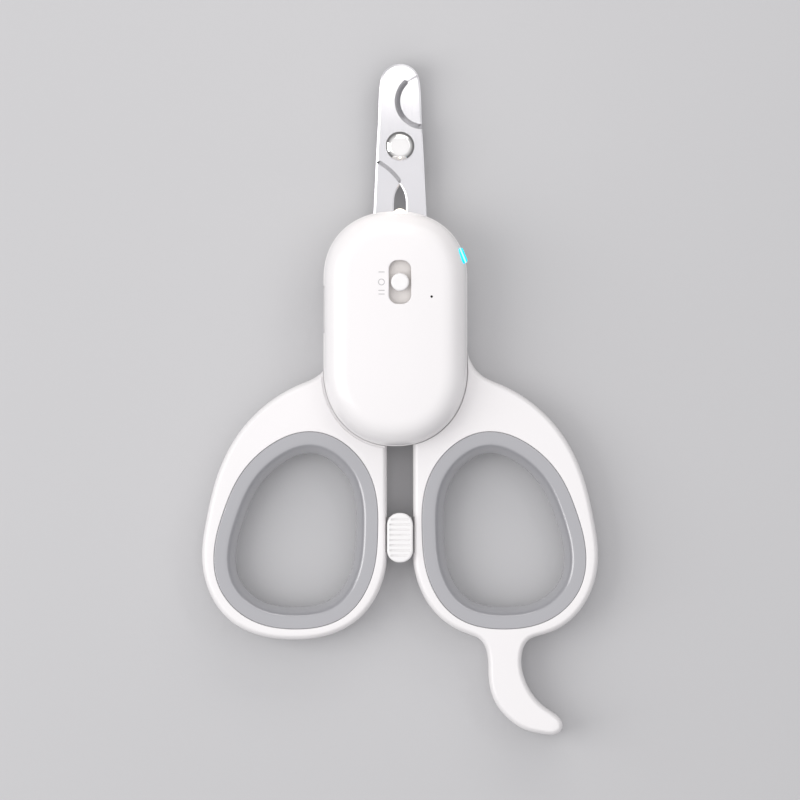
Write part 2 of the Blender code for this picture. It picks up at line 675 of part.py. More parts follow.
PARTS = collection("nail_clipper")
CUTTERS = collection("cutters")
WHITE = material("white_plastic", (0.93, 0.92, 0.92), 0.3)
BEIGE = material("beige_plastic", (0.80, 0.78, 0.76), 0.5)
GREY = material("grey_rubber", (0.45, 0.45, 0.47), 0.6)
BLADE = material("blade_steel", (0.80, 0.80, 0.83), 0.22, 1.0)
CHROME = material("chrome", (0.85, 0.85, 0.85), 0.06, 1.0)
STEEL = material("steel", (0.55, 0.56, 0.58), 0.35, 1.0)
BOARD_GREEN = material("board_green", (0.03, 0.20, 0.09), 0.5)
FOIL = material("battery_foil", (0.62, 0.64, 0.66), 0.35, 0.8)
BLACK = material("black_plastic", (0.03, 0.03, 0.03), 0.5)
RED = material("red_wire", (0.60, 0.03, 0.02), 0.4)
LAMP = material("lamp", (0.95, 0.93, 0.86), 0.15, glow=(1.0, 0.85, 0.6))
CYAN = material("cyan_lens", (0.30, 0.90, 1.00), 0.2, glow=(0.0, 0.85, 1.0))

for side_name, side_sign in (("right", 1), ("left", -1)):
    lock_cutters(handle(side_name + "_handle", side_sign), side_sign)
    grip(side_name + "_grip", side_sign)
for screw_x, screw_y in BOSSES[:2]:
    cut(bpy.data.objects["right_handle"],
        sunk_hole(f"arm_bore_{screw_y:.0f}", (screw_x, screw_y), FRONT_HEAD[1] + 0.2, 7.0))
blade("front_blade", 1, FRONT_BLADE, FRONT_NOTCH)
blade("rear_blade", -1, REAR_BLADE, REAR_NOTCH)
for index, (screw_x, screw_y) in enumerate(BLADE_SCREWS):
    screw(f"front_blade_screw_{index + 1}", (screw_x, screw_y), *FRONT_HEAD, FRONT_BLADE[1] - 0.2)
    screw(f"rear_blade_screw_{index + 1}", (-screw_x, screw_y), *REAR_HEAD, REAR_BLADE[1] - 0.2)
pivot()
housing_base()
housing_cover()
housing_screws()
electrics()
lamps()
switch()
lock()
carried("left_pivot", (*PIVOT, 0.0),
        ["left_handle", "left_grip", "rear_blade", "rear_blade_screw_1", "rear_blade_screw_2"])
carried("switch_slide", (0.0, SWITCH_Y, CARRIER[2]), ["switch_knob", "switch_carrier", "switch_lever"])
carried("lock_slide", (0.0, LOCK_Y, LATCH_MID), ["lock_button", "lock_plate", "lock_screw"])
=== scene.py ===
"""Looks of the pet nail clipper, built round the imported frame.

Lengths are in millimetres and MM turns them to metres; the lights and the camera are placed in
metres. The clipper lies on its back: +X is right, +Y points to the blade tips and +Z out of the
front face. A profile is a list of (radius or growth of an outline, height) points.
"""
from math import cos, pi, radians, sin, sqrt

import bmesh
import bpy
import numpy as np
from mathutils import Matrix, Vector


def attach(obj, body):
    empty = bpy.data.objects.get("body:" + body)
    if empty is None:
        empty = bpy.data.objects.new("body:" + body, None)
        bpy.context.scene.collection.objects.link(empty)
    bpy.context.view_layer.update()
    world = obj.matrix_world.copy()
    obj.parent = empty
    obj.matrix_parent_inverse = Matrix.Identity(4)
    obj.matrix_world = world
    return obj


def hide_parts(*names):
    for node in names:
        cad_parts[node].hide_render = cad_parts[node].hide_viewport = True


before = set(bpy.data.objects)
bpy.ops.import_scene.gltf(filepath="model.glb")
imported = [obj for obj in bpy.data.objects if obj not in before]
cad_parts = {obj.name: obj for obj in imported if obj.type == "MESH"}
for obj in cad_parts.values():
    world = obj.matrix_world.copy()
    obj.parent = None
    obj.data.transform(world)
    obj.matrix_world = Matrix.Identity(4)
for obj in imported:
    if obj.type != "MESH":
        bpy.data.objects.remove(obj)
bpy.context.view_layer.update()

MM = 0.001
FINE = 0.5                    # spacing of the points on smooth outlines
TURNS = 48                    # sides of a round piece
QUARTER = 7                   # rings in a rounded edge
CREASE = radians(32.0)        # edges sharper than this stay sharp

CLEAR = 1.0                   # how far a cutter passes beyond a surface
END_STEPS = 64                # points round each end of the housing's outline
FLARE_STEPS = 5               # rings in a cutter's rounded end

# Handles, as in the CAD: the right one's outline, in stretches
ARM_INNER = 0.6
LOOP_INNER = 2.6
S_BEND = [(ARM_INNER, 9.0), (1.6, 4.5), (LOOP_INNER, 0.0)]
LOOP_HEEL = [(LOOP_INNER, -31.3), (3.4, -36.1), (5.8, -41.1), (9.6, -44.9), (13.4, -46.8)]
LOOP_FOOT = [(21.2, -48.0)]
LOOP_SIDE = [(28.9, -46.9), (34.1, -44.1), (38.2, -38.3), (39.595, -31.6), (38.8, -24.4),
             (36.3, -14.5), (32.1, -6.5), (26.3, -0.6), (19.9, 3.1), (16.4, 4.8), (14.4, 7.1)]
ARM_OUTER = [(13.2, 11.0), (12.3, 18.0), (10.2, 26.0), (7.6, 31.8), (4.2, 34.6), (1.3, 32.6),
             (ARM_INNER, 29.0)]
ARM_WALL = (26.0, 23.0, 20.0, 17.0, 14.0, 11.5)
LOOP_WALL = np.arange(-1.5, -30.5, -1.5)
TAIL = [(16.2, -48.2), (17.45, -51.0), (17.7, -55.4), (18.8, -60.1), (21.4, -63.6), (25.2, -66.1),
        (28.4, -66.85), (30.7, -67.0), (32.2, -66.2), (32.5, -64.9), (31.5, -63.3), (29.1, -61.6),
        (26.7, -59.2), (25.1, -56.3), (24.3, -51.7), (25.6, -48.2)]
HOLE = [(17.6, -10.8), (10.5, -15.9), (8.8, -26.4), (9.8, -34.1), (13.5, -39.7), (21.0, -41.5),
        (28.6, -39.7), (32.1, -35.7), (32.7, -30.1), (31.1, -23.8), (28.3, -17.6), (23.7, -12.9)]

# Handles: heights, edges and recesses
HANDLE_TOP = 9.0
HANDLE_ROUND = 2.0            # height of the rounded edge
EDGE_REACH = 1.0              # how far the rounded edge reaches over a handle's face
EDGE_LEAST = 0.1
EDGE_PASSES = 60              # smoothing of the edge's width along the outline
FLAT_CURVE = 0.01             # a curve flatter than this doesn't limit the edge
CURVE_SHARE = 0.6             # the edge's width over the curve's radius
CURVE_SPARE = 1.15
SEAT_LIP = 0.2                # rounding where a handle meets its soft ring
SEAT_ROOM = 0.15              # face left between the two roundings
SEAT_ROOM_LEAST = 0.12
SEAM = 0.09                   # between the handles and the housing where they meet
STEP_EDGE = 0.16              # rounding along that seam
LAND = (0.5, 0.3)             # width and depth of the left handle's land round the housing
WEB = (2.0, 7.0)              # bottom and top of the web that the soft ring grips
ARM_TOP = 6.0                 # height of the arm under the housing
BLADE_BED = (-1.0, 7.2, 14.6, 40.0)      # low x, high x, low y, high y
BED_GAP = 0.1                 # under a blade
HANDLE_HOLE_TOP = 7.0

# Soft rings
GRIP_WIDTH = 4.4              # from the finger hole's edge to the ring's seat
GRIP_LIP = 1.6                # from the finger hole's edge to the web
RING_GAP = 0.05               # between a ring and its seat
RING_TOP = HANDLE_TOP - 0.06
RING_EDGE = 0.16
RING_WAIST = 4.5              # height of the ring's narrowest place
RING_PROFILE = [(0.0, RING_WAIST), (0.04, 5.1), (0.14, 5.75), (0.33, 6.45), (0.58, 7.1),
                (0.88, 7.7), (1.2, 8.2), (1.48, 8.56), (1.6, 8.69), (1.72, 8.79), (1.86, 8.86),
                (2.02, 8.9), (2.6, 8.92), (3.3, RING_TOP)]

# Blades: the right-hand one's outline, in stretches
REAR_BLADE = (2.9, 4.4)
FRONT_BLADE = (4.5, 6.0)
BLADE_SIDE = [(6.9, 21.0), (5.9, 30.0), (5.22, 38.3), (4.63, 50.7), (4.3, 57.0), (4.0, 63.1),
              (3.42, 65.2), (1.8, 66.7), (0.0, 67.1)]
BLADE_FAR_SIDE = [(-1.8, 66.7), (-3.42, 65.2), (-4.0, 63.1), (-4.3, 57.0), (-4.63, 50.7),
                  (-4.75, 47.4)]
BLADE_SHOULDER = [(-4.75, 47.4), (-2.3, 45.7), (-0.14, 43.2), (0.9, 41.3), (1.2, 37.5),
                  (1.2, 17.5)]
BLADE_SHANK = [(1.8, 15.0), (5.9, 15.0), (6.9, 16.5)]
BLADE_SCREWS = [(3.9, 19.0), (3.4, 29.5)]
BLADE_CREASE = radians(15.0)
PIVOT = (0.0, 50.7)
EYE_RADIUS = 1.65
EYE_EDGE = 0.12

# Blades: width and drop of the bright chamfer along each stretch of their edges
BLADE_EDGE = (0.38, 0.15)
SHOULDER_EDGE = (0.75, 0.5)
SHANK_EDGE = (0.28, 0.12)
BITE_EDGE = (0.02, 0.01)
SHOULDER_END = 43.4           # where the shoulder's chamfer gives way to the shank's

# Bites: centre, radius at the inner and outer face, angle where the round part ends; then the
# two points of the mouth at the inner and at the outer face
BITE_POINTS = 45
BITE_MARGIN = 0.1
FRONT_NOTCH = (4.65, 59.7, 4.6, 5.7, 132.0)
FRONT_MOUTH = [(1.60, 63.62), (3.72, 64.68)], [(1.53, 63.74), (3.69, 64.79)]
REAR_NOTCH = (4.0, 59.6, 2.3, 2.9, 92.0)
REAR_MOUTH = [(4.05, 61.95), (4.06, 61.96)], [(4.02, 62.55), (4.03, 62.56)]

# Pivot: profiles, the washer's and the nut's from the rear blade's back
BOLT_PROFILE = [(1.15, 0.4), (1.5, 0.7), (1.5, 6.1), (2.86, 6.1), (2.9, 6.14), (2.9, 6.8),
                (2.84, 6.88), (2.02, 7.44), (1.92, 7.48), (1.8, 7.5), (1.2, 7.52), (0.6, 7.53)]
BOLT_TURNS = 96
BOLT_CREASE = radians(40.0)
WASHER_PROFILE = [(1.65, -0.1), (2.8, -0.1), (2.9, -0.2), (2.9, -0.35), (2.8, -0.45),
                  (1.65, -0.45)]
NUT_CORNER = 2.7
NUT_TURNS = 72
NUT_PROFILE = [(0.97, -2.1), (1.06, -1.9), (1.3, -1.6), (1.3, -0.85), (1.03, -0.55)]
NUT_HOLE = [(1.85, -2.1), (1.62, -1.85), (1.62, -0.55)]

# Screws
FRONT_HEAD = (0.8, 2.0)       # bottom and top of the heads
REAR_HEAD = (0.3, 1.2)
BASE_HEAD = (6.6, 7.7)
HEAD_RADIUS = 1.75
HEAD_PROFILE = [(0.7, 0.0), (1.3, 0.07), (1.6, 0.22), (HEAD_RADIUS, 0.45)]    # from its bottom
HEAD_HOLE = 2.1
HEAD_GAP = 0.2                # over a head
SCREW_RADIUS = 1.0
SCREW_HOLE = 1.25
SCREW_TURNS = 36
HOLE_TURNS = 32
POINT = (0.7, 0.4)            # share of the radius left at a screw's tip, and its height
SHANK_TIP = 0.2               # from a shank screw's tip to its blade's face
RECESS = (1.0, 0.2)           # half length and half width of a recess's arms

# Housing
MID_X = -0.92
HALF_WIDTH = 14.36
TOP_END = (24.0, 13.6, 2.2)   # middle, height and power of the outline's top end
LOW_END = (5.86, 15.2, 2.1)
RIM_STEP = 0.2                # from the base's edge in to the cover's
BASE = (6.3, 9.5)
BASE_WALL = 1.5
BASE_PROFILE = [(-0.5, BASE[0]), (-0.15, BASE[0] + 0.12), (0.0, BASE[0] + 0.45),
                (0.0, BASE[1] - 0.2), (-0.06, BASE[1] - 0.06), (-0.2, BASE[1]),
                (-BASE_WALL, BASE[1]), (-BASE_WALL, 7.5)]
COVER_TOP = 17.5
COVER_FOOT = BASE[1] + 0.06
COVER_FOOT_EDGE = (0.12, 0.15)
COVER_WALL = 1.3
COVER_TOP_WALL = 1.0
COVER_ROUND = 5.2
COVER_DOME = 0.35             # rise of the cover from the end of its rounding to its middle
COVER_STEPS = 13
DOME_SHARES = (0.12, 0.26, 0.42, 0.6, 0.78)    # of the way to the middle
DOME_SPAN = (LOW_END[0] - 1.0, TOP_END[0] + 1.0)
BOSSES = [(8.8, 2.4), (9.0, 16.5), (-10.4, 2.4), (-8.9, 28.6)]
BOSS_HOLE = (5.0, 12.0)
SCREW_TIP = 14.0
UNDER_COVER = 14.0            # where cuts through the cover's face start

# Switch and its marks
SWITCH_Y = 23.4
SLOT = (4.4, 8.7, 1.8)        # width, length, corner radius
SLOT_EDGE = (0.22, 0.02)      # its rounding, and how far under the cover's top that ends
CARRIER = (6.6, 13.0, 15.2, 16.0)        # width, length, bottom, top
CARRIER_EDGE = (0.2, 0.1)
CARRIER_CORNER = 0.8
CARRIER_EYE = (0.75, 14.9, 17.0)         # radius, low, high
FORKS = (0.95, -1.65)         # near sides of the two arms that hold the lever
FORK_SIZE = (0.9, 0.7)        # half width, thickness
FORK_FOOT = 14.5
KNOB_RADIUS = 1.8
KNOB_TOP = 18.0
KNOB_EDGE = 0.4
KNOB_DISH = [(0.9, KNOB_TOP - 0.03), (0.3, KNOB_TOP - 0.05)]
KNOB_STEM = 0.6
KNOB_TURNS = 64
PINHOLE = (6.3, 20.5)
PINHOLE_RADIUS = 0.25
MARK_RELIEF = 0.02
MARK_X = -3.7
BAR_X = -3.68
BAR_SIZE = (1.25, 0.15, 0.07)            # length, width, corner radius
BARS = (25.4, 21.75, 21.0)
RING_MARK = (0.52, 0.66)      # inner and outer radius

# Lamps and lens
LAMP_AXIS = 11.9
LAMP_RADIUS = 1.5
LAMP_FOOT = [(LAMP_RADIUS + 0.4, 32.6), (LAMP_RADIUS + 0.4, 33.5), (LAMP_RADIUS, 33.6)]
LAMP_NOSE = 36.6              # where its round end starts
LAMP_GAP = 0.2
LAMP_HOLE = (33.0, 42.0)
LENS = (12.55, 28.75, 13.1)
LENS_TURN = radians(22.0)
LENS_SIZE = (2.0, 3.2)        # height, length
LENS_EDGE = 0.5
LENS_FOOT = -1.35
LENS_GAP = 0.12
LENS_CUT = 3.0

# Charge socket, whose lengths run out of the left wall
PORT = (18.0, 9.7)            # y and z of its middle
PORT_SIZE = (8.94, 3.2)       # width, height
PORT_MARGIN = 0.6
PORT_CUT = (12.2, 18.0)
SOCKET_WALL = 0.35
SOCKET_DEPTH = (7.7, 8.5, 14.8, 14.9)    # back, floor, start of the mouth's edge, mouth
TONGUE = (6.6, 0.7, 8.3, 13.7)           # width, height, back, front
CONTACTS = np.arange(-2.75, 2.8, 0.5)
CONTACT_SIZE = (0.13, 0.39, 9.5, 13.2)   # half width, half height, back, front

# Lock
GAP = 0.3                     # round a sliding part
LOCK_Y = -27.6
LOCK_BUTTON = (5.2, 9.9, 8.0, 10.0)      # width, length, bottom, top
LOCK_EDGE = 0.4
LOCK_STEM = (1.7, 3.0, 6.1, 0.6)         # half width, half length, bottom, reach into the button
LOCK_POCKET = (1.0, 2.9, -30.5, -23.4)   # near x, far x, low y, high y
POCKET_HEIGHTS = (WEB[0] + 0.4, 10.5)
LATCH_Y = (-28.2, -26.2)
LATCH_TRAVEL = 2.2
LATCH_MID = 4.5
LATCH_HALF = 0.6
LATCH_TALL = 1.6              # half height of the left handle's entry and cavity
RIGHT_SLOT = (2.4, 6.4, 1.3)  # low x, high x, spare length at each end
LEFT_ENTRY = (-4.2, -2.4)
LEFT_CAVITY = (-5.6, -3.9)
RIBS = (8, -23.96, 1.03)      # how many grooves, the first one's y, and their pitch
GROOVE = [(0.02, 0.0), (0.18, 0.1), (0.24, 0.3)]         # radius, distance from its end
GROOVE_DEPTH = 0.1
GROOVE_REACH = 2.2            # half length of the longest grooves
GROOVE_ROUND = (2.3, 2.35)    # radius that cuts the outer ones short, and where it starts
GROOVE_LEAST = 0.3

# Materials
NOISE_MIDDLE = (0.3, 0.7)     # the range in which most of a noise pattern's values lie
TINT_STOPS = (0.35, 0.65)



# Outlines

def smooth(points, closed=False, start=None, end=None):
    """Evenly spaced points on the cubic spline through the given ones."""
    fixed = np.array(points + points[:1] if closed else points, float)
    chord = np.diff(fixed, axis=0)
    gap = np.linalg.norm(chord, axis=1)
    slope = chord / gap[:, None]
    last = len(fixed) - 1
    system = np.eye(last + 1)
    target = np.zeros((last + 1, 2))
    for i in range(0 if closed else 1, last):
        before = (i - 1) % last
        system[i] = 0.0
        system[i, before] += gap[i]
        system[i, i] += 2.0 * (gap[before] + gap[i])
        system[i, i + 1] += gap[before]
        target[i] = 3.0 * (gap[i] * slope[before] + gap[before] * slope[i])
    if closed:
        system[last, 0] = -1.0
    else:
        for row, near, inner, given in ((0, 0, 1, start), (last, last - 1, last - 1, end)):
            if given:
                target[row] = given
            else:
                system[row, row], system[row, inner] = 2.0, 1.0
                target[row] = 3.0 * slope[near]
    tangent = np.linalg.solve(system, target)
    path = []
    for i in range(last):
        count = max(1, round(gap[i] / FINE))
        for t in np.arange(count) / count:
            path.append(fixed[i] * (1 + 2 * t) * (1 - t) ** 2 + fixed[i + 1] * t * t * (3 - 2 * t)
                        + tangent[i] * gap[i] * t * (1 - t) ** 2
                        + tangent[i + 1] * gap[i] * t * t * (t - 1))
    if not closed:
        path.append(fixed[-1])
    return [tuple(p) for p in path]


def normals(loop):
    """Unit normals of a loop, outward where it runs counterclockwise."""
    along = np.roll(loop, -1, axis=0) - np.roll(loop, 1, axis=0)
    along /= np.linalg.norm(along, axis=1)[:, None]
    return np.column_stack((along[:, 1], -along[:, 0]))


def grown(loop, distance):
    """The loop moved outwards by a distance, or by one for each of its points."""
    loop = np.array(loop, float)
    return loop + np.reshape(distance, (-1, 1)) * normals(loop)


def mirrored(loop):
    """The loop on the other side of the middle, still counterclockwise."""
    return np.array(loop, float)[::-1] * (-1, 1)


def arc(centre, radius, first, last, count):
    angles = np.radians(np.linspace(first, last, count))
    return np.column_stack((centre[0] + radius * np.cos(angles),
                            centre[1] + radius * np.sin(angles)))


def circle(centre, radius, count=TURNS):
    return arc(centre, radius, 0, 360, count + 1)[:-1]


def rounded(centre, width, length, radius, count=8):
    """A rectangle with round corners, counterclockwise."""
    corners = []
    for quarter in range(4):
        side_x = 1 if quarter in (0, 3) else -1
        side_y = 1 if quarter < 2 else -1
        corner = (centre[0] + side_x * (width / 2 - radius),
                  centre[1] + side_y * (length / 2 - radius))
        corners.append(arc(corner, radius, 90 * quarter, 90 * quarter + 90, count + 1))
    return np.concatenate(corners)


def rectangle(low_x, high_x, low_y, high_y):
    return np.array([(low_x, low_y), (high_x, low_y), (high_x, high_y), (low_x, high_y)], float)


def capsule(distance=0.0):
    """The housing's outline, moved outwards by a distance: a superellipse's half at each end."""
    loop = []
    for first, (middle, height, power) in ((0.0, TOP_END), (pi, LOW_END)):
        for i in range(END_STEPS + 1):
            a = first + pi * i / END_STEPS
            x = abs(cos(a)) ** (2 / power) * (1 if cos(a) > 0 else -1)
            y = abs(sin(a)) ** (2 / power) * (1 if first == 0.0 else -1)
            loop.append((MID_X + HALF_WIDTH * x, middle + height * y))
    return grown(loop, distance)


def handle_outline(tail):
    """The right handle's outline, counterclockwise."""
    down = (0.0, -1.0)
    outer = smooth(LOOP_HEEL + (TAIL if tail else LOOP_FOOT) + LOOP_SIDE + ARM_OUTER,
                   start=down, end=down)
    bend = smooth(S_BEND, start=down, end=down)
    straight = [(ARM_INNER, y) for y in ARM_WALL]
    wall = [(LOOP_INNER, y) for y in LOOP_WALL]
    return np.array(outer + straight + bend + wall)


def edge_radius(loop, seat, limit):
    """How wide the rounded edge can be at each point of a handle's outline.

    It stays clear of the soft ring's seat and, in a tight curve, well inside the curve's radius.
    """
    room = np.array([np.linalg.norm(seat - p, axis=1).min() for p in loop])
    back, on = loop - np.roll(loop, 1, axis=0), np.roll(loop, -1, axis=0) - loop
    turn = np.arctan2(back[:, 0] * on[:, 1] - back[:, 1] * on[:, 0], (back * on).sum(axis=1))
    curve = turn / (0.5 * (np.linalg.norm(back, axis=1) + np.linalg.norm(on, axis=1)))
    reach = np.where(curve > FLAT_CURVE, CURVE_SHARE / np.maximum(curve, FLAT_CURVE), limit)
    radius = np.minimum(limit, np.minimum(room - SEAT_LIP - SEAT_ROOM, reach))
    for _ in range(EDGE_PASSES):
        radius = 0.5 * radius + 0.25 * (np.roll(radius, 1) + np.roll(radius, -1))
    widest = np.maximum(room - SEAT_LIP - SEAT_ROOM_LEAST, EDGE_LEAST)
    return np.minimum(radius, np.minimum(CURVE_SPARE * reach, widest))


# Meshes

def level(loop, height):
    """A flat loop's points at a height."""
    loop = np.array(loop, float)
    return np.column_stack((loop, np.broadcast_to(height, len(loop))))


def solid(name, *tubes, wrap=False):
    """Tubes of rings whose flat open ends are filled; with wrap, the last ring joins the first."""
    mesh = bmesh.new()
    for rings in tubes:
        rows = [[mesh.verts.new(Vector(p) * MM) for p in ring] for ring in rings]
        for low, high in zip(rows, rows[1:] + rows[:1] if wrap else rows[1:]):
            for i in range(len(low)):
                mesh.faces.new((low[i - 1], low[i], high[i], high[i - 1]))
    levels = {}
    for edge in mesh.edges:
        if edge.is_boundary:
            levels.setdefault(round(edge.verts[0].co.z / MM, 2), []).append(edge)
    for edges in levels.values():
        bmesh.ops.triangle_fill(mesh, use_beauty=True, edges=edges)
    bmesh.ops.recalc_face_normals(mesh, faces=mesh.faces)
    made = bpy.data.meshes.new(name)
    mesh.to_mesh(made)
    mesh.free()
    piece = bpy.data.objects.new(name, made)
    bpy.context.scene.collection.objects.link(piece)
    return piece


def prism(name, loop, low, high):
    return solid(name, [level(loop, low), level(loop, high)])


def block(name, low, high):
    return prism(name, rectangle(low[0], high[0], low[1], high[1]), low[2], high[2])


def turned(name, profile, sides=TURNS, turn=None):
    """A round piece from (radius, height) points."""
    piece = solid(name, [level(circle((0, 0), r, sides), z) for r, z in profile])
    if turn:
        piece.data.transform(turn)
    return piece


def flared(name, loop, low, top, size):
    """Cutter that rounds the edge where it comes out of the surface."""
    rings = [level(loop, low)]
    for a in np.linspace(0, pi / 2, FLARE_STEPS):
        rings.append(level(grown(loop, size * (1 - cos(a))), top - size + size * sin(a)))
    return solid(name, rings + [level(grown(loop, size + 0.02), top + CLEAR)])


def at(x, y, z=0.0):
    """A shift in millimetres."""
    return Matrix.Translation((x * MM, y * MM, z * MM))


def settle(piece):
    """Makes a piece's modifiers part of its mesh."""
    shape = piece.evaluated_get(bpy.context.evaluated_depsgraph_get())
    mesh = bpy.data.meshes.new_from_object(shape)
    piece.modifiers.clear()
    piece.data = mesh


def carve(piece, *tools, operation="DIFFERENCE"):
    """Cuts the tools out of a piece, or joins them to it, and removes them."""
    group = bpy.data.collections.new("tools")
    for tool in tools:
        group.objects.link(tool)
    step = piece.modifiers.new("carve", "BOOLEAN")
    step.operation = operation
    step.operand_type = "COLLECTION"
    step.collection = group
    step.solver = "EXACT"
    settle(piece)
    bpy.data.collections.remove(group)
    for tool in tools:
        bpy.data.objects.remove(tool)
    return piece


def shown(piece, body, finish, slot, *nodes, crease=CREASE):
    """Gives a piece its normals, finish and body, in place of the CAD nodes it stands for."""
    mesh = piece.data
    mesh.materials.clear()
    mesh.materials.append(finish)
    mesh.shade_smooth()
    mesh.set_sharp_from_angle(angle=crease)
    even = piece.modifiers.new("even", "WEIGHTED_NORMAL")
    even.keep_sharp = True
    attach(piece, body)
    if nodes:
        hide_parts(*nodes)
    return piece


# Finishes

class Finish:
    """A Principled material with its pattern nodes."""

    def __init__(self, name, colour, roughness, **sockets):
        self.material = bpy.data.materials.new(name)
        self.material.use_nodes = True
        self.nodes = self.material.node_tree.nodes
        self.links = self.material.node_tree.links
        self.shader = self.nodes["Principled BSDF"]
        self.shader.inputs["Base Color"].default_value = (*colour, 1.0)
        self.shader.inputs["Roughness"].default_value = roughness
        for socket, value in sockets.items():
            self.shader.inputs[socket.replace("_", " ")].default_value = value
        self.place = self.nodes.new("ShaderNodeTexCoord").outputs["Object"]

    def stretched(self, scale):
        """Coordinates with a pattern scale per axis."""
        node = self.nodes.new("ShaderNodeMapping")
        node.inputs["Scale"].default_value = scale
        self.links.new(self.place, node.inputs["Vector"])
        return node.outputs["Vector"]

    def noise(self, scale, detail=2.0, place=None):
        node = self.nodes.new("ShaderNodeTexNoise")
        node.inputs["Scale"].default_value = scale
        node.inputs["Detail"].default_value = detail
        self.links.new(place or self.place, node.inputs["Vector"])
        return node.outputs["Fac"]

    def spread(self, value, low, high):
        """The pattern's middle range, spread from low to high."""
        node = self.nodes.new("ShaderNodeMapRange")
        node.inputs["From Min"].default_value, node.inputs["From Max"].default_value = NOISE_MIDDLE
        node.inputs["To Min"].default_value = low
        node.inputs["To Max"].default_value = high
        self.links.new(value, node.inputs["Value"])
        return node.outputs["Result"]

    def rough(self, value, low, high):
        self.links.new(self.spread(value, low, high), self.shader.inputs["Roughness"])
        return self

    def tint(self, value, first, second):
        node = self.nodes.new("ShaderNodeValToRGB")
        for stop, place, colour in zip(node.color_ramp.elements, TINT_STOPS, (first, second)):
            stop.position = place
            stop.color = (*colour, 1.0)
        self.links.new(value, node.inputs["Fac"])
        self.links.new(node.outputs["Color"], self.shader.inputs["Base Color"])
        return self

    def bump(self, value, height):
        """Relief of a height in millimetres."""
        node = self.nodes.new("ShaderNodeBump")
        node.inputs["Distance"].default_value = height * MM
        node.inputs["Strength"].default_value = 1.0
        self.links.new(value, node.inputs["Height"])
        self.links.new(node.outputs["Normal"], self.shader.inputs["Normal"])
        return self


def plastic(name, first, second, low, high, grain, height, **sockets):
    """Moulded plastic: a fine grain, faint flow marks and an uneven gloss from low to high."""
    made = Finish(name, first, low, **sockets)
    flow = made.noise(22.0, 2.0)
    made.tint(flow, first, second).rough(made.noise(900.0, 4.0), low, high)
    return made.bump(made.noise(grain, 2.0), height).material


def metal(name, first, second, low, high, along, height, **sockets):
    """Metal with grinding marks drawn out along one axis."""
    made = Finish(name, first, low, Metallic=1.0, **sockets)
    marks = made.noise(1.0, 3.0, made.stretched(along))
    made.tint(made.noise(90.0, 2.0), first, second).rough(marks, low, high)
    return made.bump(marks, height).material


def lens_glow_painted_highlight(edge, middle):
    """Glowing resin in front of the side lamp, with a painted highlight: a bright near-white line
    painted into the glow along the middle of the lens.
    """
    made = Finish("lens_glow_painted_highlight", (0.0, 0.50, 0.62), 0.16, Emission_Strength=0.9)
    place = made.nodes.new("ShaderNodeMapping")
    place.inputs["Scale"].default_value = (1 / MM, 1 / MM, 1 / MM)
    place.inputs["Rotation"].default_value = (0.0, 0.0, -LENS_TURN)
    place.inputs["Location"].default_value = (
        -LENS[0] * cos(LENS_TURN) - LENS[1] * sin(LENS_TURN) + 0.5, 0.0, 0.0)
    split = made.nodes.new("ShaderNodeSeparateXYZ")
    # The ramp paints the highlight: near-white glow along the lens's middle, cyan glow towards its
    # edges.
    ramp = made.nodes.new("ShaderNodeValToRGB")
    stops = ramp.color_ramp.elements
    stops.new(0.5)
    for stop, (position, colour) in zip(stops, ((0.3, edge), (0.5, middle), (0.72, edge))):
        stop.position = position
        stop.color = (*colour, 1.0)
    made.links.new(made.place, place.inputs["Vector"])
    made.links.new(place.outputs["Vector"], split.inputs["Vector"])
    made.links.new(split.outputs["X"], ramp.inputs["Fac"])
    made.links.new(ramp.outputs["Color"], made.shader.inputs["Emission Color"])
    return made.bump(made.noise(2600.0), 0.0005).material


WHITE = plastic("white_shell", (0.865, 0.848, 0.852), (0.861, 0.844, 0.848), 0.285, 0.33,
                4200.0, 0.0008, Coat_Weight=0.25, Coat_Roughness=0.12)
BUTTON = plastic("white_button", (0.88, 0.87, 0.87), (0.87, 0.86, 0.86), 0.30, 0.36,
                 4000.0, 0.0006)
BEIGE = plastic("slot_floor", (0.73, 0.70, 0.68), (0.70, 0.67, 0.65), 0.40, 0.52, 3600.0, 0.003)
GREY = plastic("soft_rubber", (0.36, 0.36, 0.382), (0.352, 0.352, 0.374), 0.285, 0.34,
               5200.0, 0.003, Coat_Weight=1.0, Coat_IOR=2.0, Coat_Roughness=0.14)
BLACK = plastic("black_plastic", (0.020, 0.020, 0.022), (0.028, 0.028, 0.030), 0.38, 0.50,
                3800.0, 0.003)
PRINT = plastic("grey_print", (0.42, 0.41, 0.42), (0.46, 0.45, 0.46), 0.45, 0.60, 9000.0, 0.001)
GREEN = plastic("board_green", (0.015, 0.16, 0.06), (0.02, 0.22, 0.09), 0.30, 0.42,
                1500.0, 0.01)
RED = plastic("red_wire", (0.55, 0.02, 0.015), (0.48, 0.02, 0.015), 0.35, 0.45, 3000.0, 0.003)
FOIL = metal("battery_foil", (0.70, 0.71, 0.73), (0.62, 0.63, 0.66), 0.25, 0.40,
             (900.0, 300.0, 900.0), 0.01)
BLADE = metal("blade_steel", (0.735, 0.73, 0.75), (0.715, 0.71, 0.73), 0.16, 0.26,
              (3800.0, 160.0, 3800.0), 0.0008)
CHROME = metal("chrome", (0.93, 0.92, 0.91), (0.90, 0.89, 0.88), 0.03, 0.07,
               (700.0, 700.0, 700.0), 0.0004)
STEEL = metal("plated_steel", (0.62, 0.63, 0.65), (0.54, 0.55, 0.57), 0.285, 0.38,
              (1200.0, 1200.0, 1200.0), 0.002)
GOLD = metal("contact_gold", (0.85, 0.62, 0.25), (0.80, 0.56, 0.20), 0.18, 0.28,
             (1200.0, 1200.0, 1200.0), 0.001)
LAMP = plastic("lamp_resin", (1.0, 0.97, 0.90), (1.0, 0.95, 0.86), 0.08, 0.14, 2600.0, 0.001,
               Emission_Color=(1.0, 0.90, 0.72, 1.0), Emission_Strength=1.6)
DARK_LAMP = plastic("unlit_lamp", (0.03, 0.03, 0.032), (0.035, 0.035, 0.037), 0.2, 0.3,
                    2600.0, 0.001)
